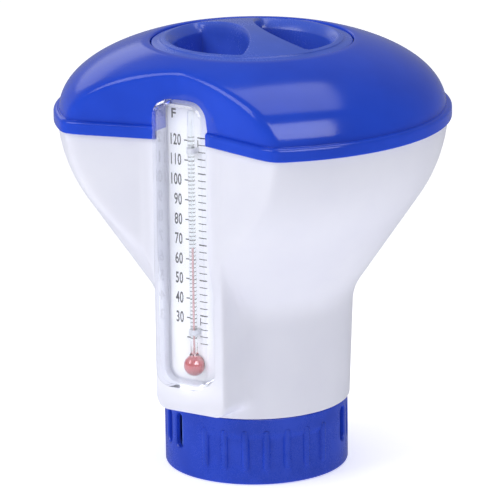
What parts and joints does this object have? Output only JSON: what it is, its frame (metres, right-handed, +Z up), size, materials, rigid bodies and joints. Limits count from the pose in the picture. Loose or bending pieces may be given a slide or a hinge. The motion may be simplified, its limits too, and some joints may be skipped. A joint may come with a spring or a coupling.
{
  "type": "floating pool thermometer",
  "caption": "Mushroom-shaped floating pool dispenser with a clear-cased liquid thermometer set in its notched front, a lift-off cap and a turning vent cup.",
  "frame": {"origin": "centre of the flow cup's underside, on the vertical axis", "axes": "+Z up along the vertical axis, -Y out through the thermometer, +X to the right of someone who looks at the thermometer"},
  "size_m": [0.19, 0.1708, 0.2142],
  "materials": {
    "blue_plastic": "gloss injection-moulded polypropylene",
    "white_plastic": "satin injection-moulded polypropylene",
    "clear_plastic": "clear polystyrene",
    "seal_rubber": "matt nitrile rubber",
    "card": "printed polystyrene sheet",
    "glass": "clear drawn glass",
    "red_spirit": "dyed spirit"
  },
  "bodies": {
    "float": {"funnel_body": "white_plastic", "dome_cover": "blue_plastic", "tablet_tube": "white_plastic", "upper_tube_seal": "seal_rubber", "lower_tube_seal": "seal_rubber", "vent_basket": "blue_plastic", "thermometer_case": "clear_plastic", "thermometer_back": "white_plastic", "scale_card": "card", "glass_tube": "glass", "spirit_bulb": "red_spirit", "spirit_thread": "red_spirit", "upper_tube_clip": "card", "lower_tube_clip": "card"},
    "cup": {"flow_cup": "blue_plastic"},
    "cap_ring": {"cap_seal": "seal_rubber"},
    "cap": {"fill_cap": "blue_plastic"}
  },
  "joints": [
    {"name": "cup_turn", "type": "hinge", "parent": "float", "child": "cup", "pos_m": [0, 0, 0], "axis": [0, 0, 1], "range_deg": [0, 70]},
    {"name": "cap_lift", "type": "slide", "parent": "float", "child": "cap_ring", "axis": [0, 0, 1], "range_m": [0, 0.06]},
    {"name": "cap_turn", "type": "hinge", "parent": "cap_ring", "child": "cap", "pos_m": [0, 0, 0.2], "axis": [0, 0, 1], "range_deg": [0, 45]}
  ]
}
